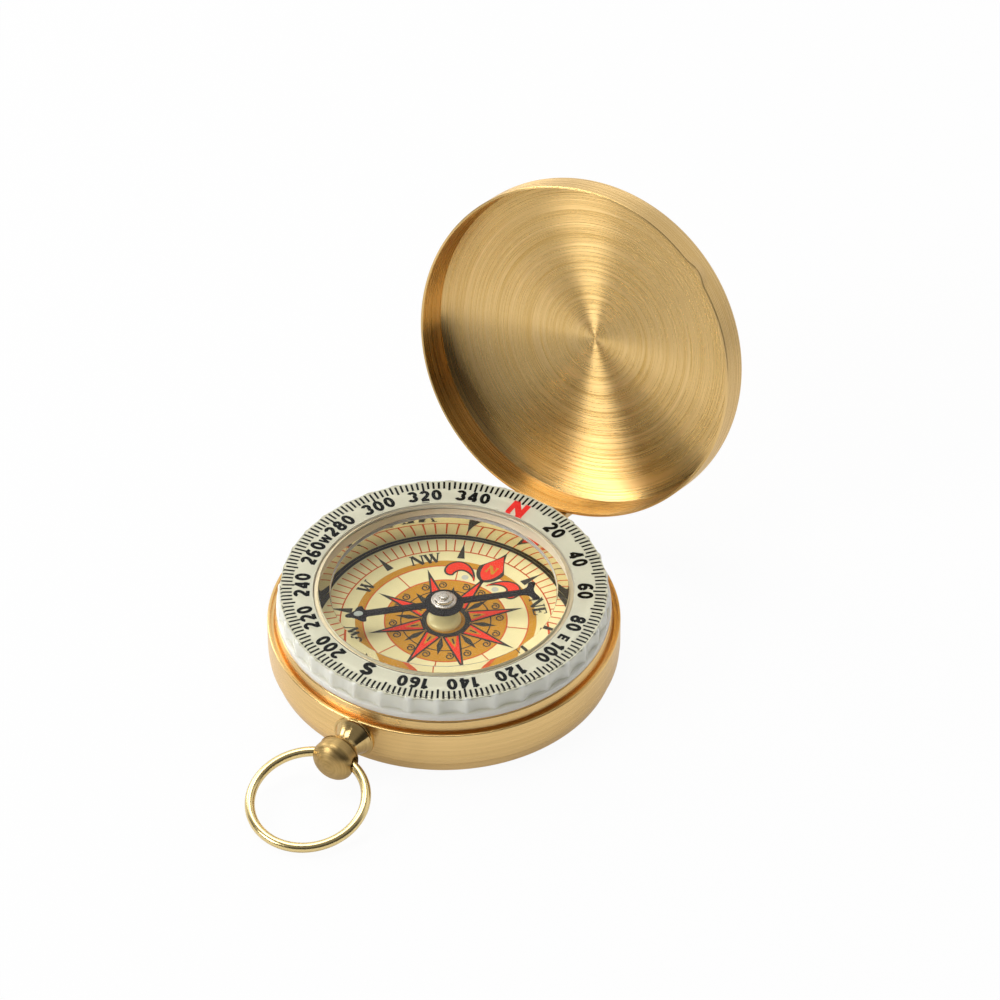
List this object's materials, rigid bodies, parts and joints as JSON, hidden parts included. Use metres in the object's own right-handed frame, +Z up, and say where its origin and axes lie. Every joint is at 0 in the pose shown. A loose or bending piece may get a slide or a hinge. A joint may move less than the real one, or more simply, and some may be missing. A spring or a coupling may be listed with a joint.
{
  "type": "pocket compass",
  "caption": "Brass pocket compass with a domed hinged lid, clear scalloped turning bezel, deep dial with a pivoted needle, and a pendant with a wire bow.",
  "frame": {"origin": "centre of the case's flat underside, on the case's turned axis", "axes": "+Z up through the dial, -Y towards the pendant and bow, +Y towards the lid's hinge; the lid is stored open as pictured"},
  "size_m": [0.05, 0.0951, 0.053],
  "materials": {
    "brass_case": "fine turned brushing with bright polished edges",
    "brass_lid": "circular brushing inside, satin wall outside",
    "brass_pendant": "turned, slightly aged brass",
    "brass_wire": "bright drawn wire",
    "steel": "ground steel pin",
    "clear_acrylic": "clear polished acrylic",
    "scale_white": "off-white printed ring",
    "cup_plastic": "polished moulded well",
    "dial_paper": "cream printed card under a gloss coat",
    "boss_gilt": "polished gilt dome",
    "needle_black": "black painted steel strip",
    "cap_metal": "turned bright cap",
    "jewel": "small polished bearing stone",
    "lume": "pale luminous paint"
  },
  "bodies": {
    "case": {"case_body": "brass_case", "case_back": "brass_case", "case_hinge_lug": "brass_case", "hinge_pin": "steel", "dial_cup": "cup_plastic", "dial_card": "dial_paper", "pivot_boss": "boss_gilt", "pivot_pin": "steel", "crystal": "clear_acrylic", "crystal_retainer": "brass_case", "pendant_collar": "brass_case", "pendant_stud": "brass_pendant", "pendant_nut": "brass_pendant", "bow_ball": "brass_pendant"},
    "lid": {"lid_shell": "brass_lid", "lid_hinge_leaf": "brass_lid"},
    "bezel": {"bezel_ring": "clear_acrylic", "scale_ring": "scale_white"},
    "needle": {"needle": "needle_black", "needle_cap": "cap_metal", "cap_jewel": "jewel", "needle_lume": "lume"},
    "bow": {"bow_ring": "brass_wire"}
  },
  "joints": [
    {"name": "lid_hinge", "type": "hinge", "parent": "case", "child": "lid", "pos_m": [0, 0.02645, 0.0047], "axis": [1, 0, 0], "range_deg": [0, 107]},
    {"name": "bezel_spin", "type": "hinge", "parent": "case", "child": "bezel", "pos_m": [0, 0, 0.011], "axis": [0, 0, 1], "continuous": true},
    {"name": "needle_spin", "type": "hinge", "parent": "case", "child": "needle", "pos_m": [0, 0, 0.0101], "axis": [0, 0, 1], "continuous": true},
    {"name": "bow_swing", "type": "hinge", "parent": "case", "child": "bow", "pos_m": [0, -0.02985, 0.0043], "axis": [-1, 0, 0], "range_deg": [-130, 135]}
  ]
}
